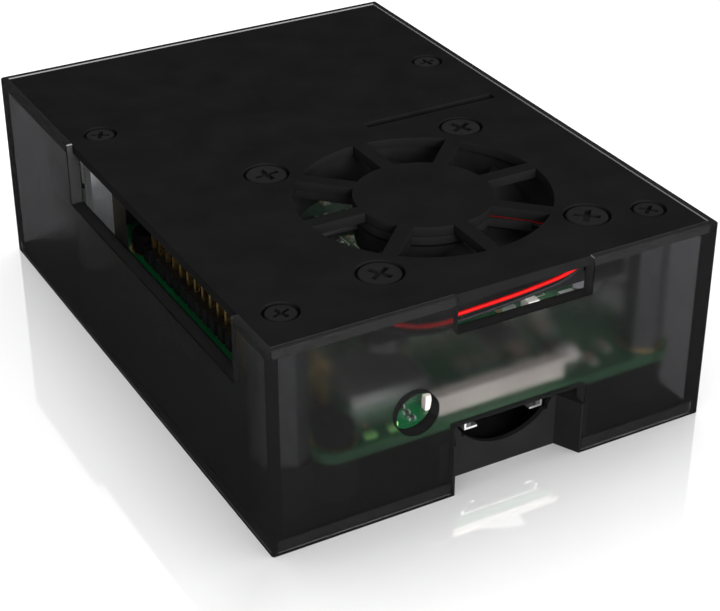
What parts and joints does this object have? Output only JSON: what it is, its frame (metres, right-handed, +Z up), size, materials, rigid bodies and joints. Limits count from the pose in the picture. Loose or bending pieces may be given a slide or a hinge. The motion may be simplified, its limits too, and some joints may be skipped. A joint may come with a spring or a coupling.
{
  "type": "cased single board computer",
  "caption": "Small single board computer in a smoky translucent box with a black fan grille cover, side window over the pin header, card slot and cable ports.",
  "frame": {"origin": "on the floor under the middle of the case", "axes": "+Z up, -Y towards the memory card slot, -X towards the pin header, +Y towards the USB and network ports"},
  "size_m": [0.0672, 0.0924, 0.0304],
  "materials": {
    "smoke_wall": "smoky translucent plastic, slightly frosted",
    "black_cover": "matte black sheet plastic",
    "black_moulding": "black moulded plastic",
    "bright_nickel": "nickel plated steel",
    "black_steel": "black oxide steel",
    "zinc_steel": "zinc plated steel",
    "gold": "gold plated contacts",
    "board_green": "green solder mask",
    "chip_black": "black epoxy chip body",
    "cream_plastic": "cream moulded plastic",
    "magnet_grey": "bonded ferrite",
    "copper": "enamelled copper winding",
    "bronze": "sintered bronze",
    "lead_red": "red wire insulation",
    "lead_black": "black wire insulation",
    "ceramic_tan": "tan ceramic capacitor",
    "moulded_pale": "pale moulded capacitor body",
    "light_window": "clear light window"
  },
  "bodies": {
    "case": {"wall_frame": "smoke_wall", "top_cover": "black_cover", "base_plate": "black_cover", "corner_standoffs": "zinc_steel", "cover_screws": "black_steel", "base_screws": "black_steel", "board_screws": "black_steel", "fan_housing": "black_moulding", "fan_bushing": "bronze", "fan_circuit": "board_green", "fan_stator": "zinc_steel", "fan_coils": "copper", "fan_screws": "black_steel", "fan_nuts": "zinc_steel", "fan_lead_red": "lead_red", "fan_lead_black": "lead_black", "fan_plug": "black_moulding", "fan_plug_terminals": "bright_nickel", "circuit_board": "board_green", "header_pins": "gold", "header_base": "black_moulding", "processor_carrier": "board_green", "processor_lid": "bright_nickel", "memory_chip": "chip_black", "network_chip": "chip_black", "power_chip": "chip_black", "wireless_shield": "bright_nickel", "small_chips": "chip_black", "display_connector": "cream_plastic", "camera_connector": "cream_plastic", "card_socket_shell": "bright_nickel", "card_socket_body": "chip_black", "card_socket_contacts": "gold", "usb_shell_outer": "bright_nickel", "usb_shell_middle": "bright_nickel", "usb_insulators": "black_moulding", "usb_contacts": "gold", "ethernet_shell": "bright_nickel", "ethernet_insert": "black_moulding", "ethernet_contacts": "gold", "ethernet_lights": "light_window", "power_port_shell": "bright_nickel", "power_port_tongue": "black_moulding", "video_port_shell": "bright_nickel", "video_port_tongue": "black_moulding", "audio_jack_body": "black_moulding", "audio_jack_contact": "bright_nickel", "capacitors": "ceramic_tan", "resistors": "chip_black", "inductors": "ceramic_tan", "tantalum_capacitors": "moulded_pale", "crystals": "bright_nickel", "status_lights": "light_window", "power_fuse": "board_green"},
    "fan_blades": {"fan_rotor": "black_moulding", "fan_magnet": "magnet_grey", "fan_shaft": "zinc_steel", "fan_clip": "cream_plastic"},
    "display_latch_bar": {"display_latch": "cream_plastic"},
    "camera_latch_bar": {"camera_latch": "cream_plastic"}
  },
  "joints": [
    {"name": "fan_spin", "type": "hinge", "parent": "case", "child": "fan_blades", "pos_m": [0.0037, -0.01966, 0.0232], "axis": [0, 0, 1], "continuous": true},
    {"name": "display_latch_slide", "type": "slide", "parent": "case", "child": "display_latch_bar", "axis": [0, 0, 1], "range_m": [0, 0.0008]},
    {"name": "camera_latch_slide", "type": "slide", "parent": "case", "child": "camera_latch_bar", "axis": [0, 0, 1], "range_m": [0, 0.0008]}
  ]
}
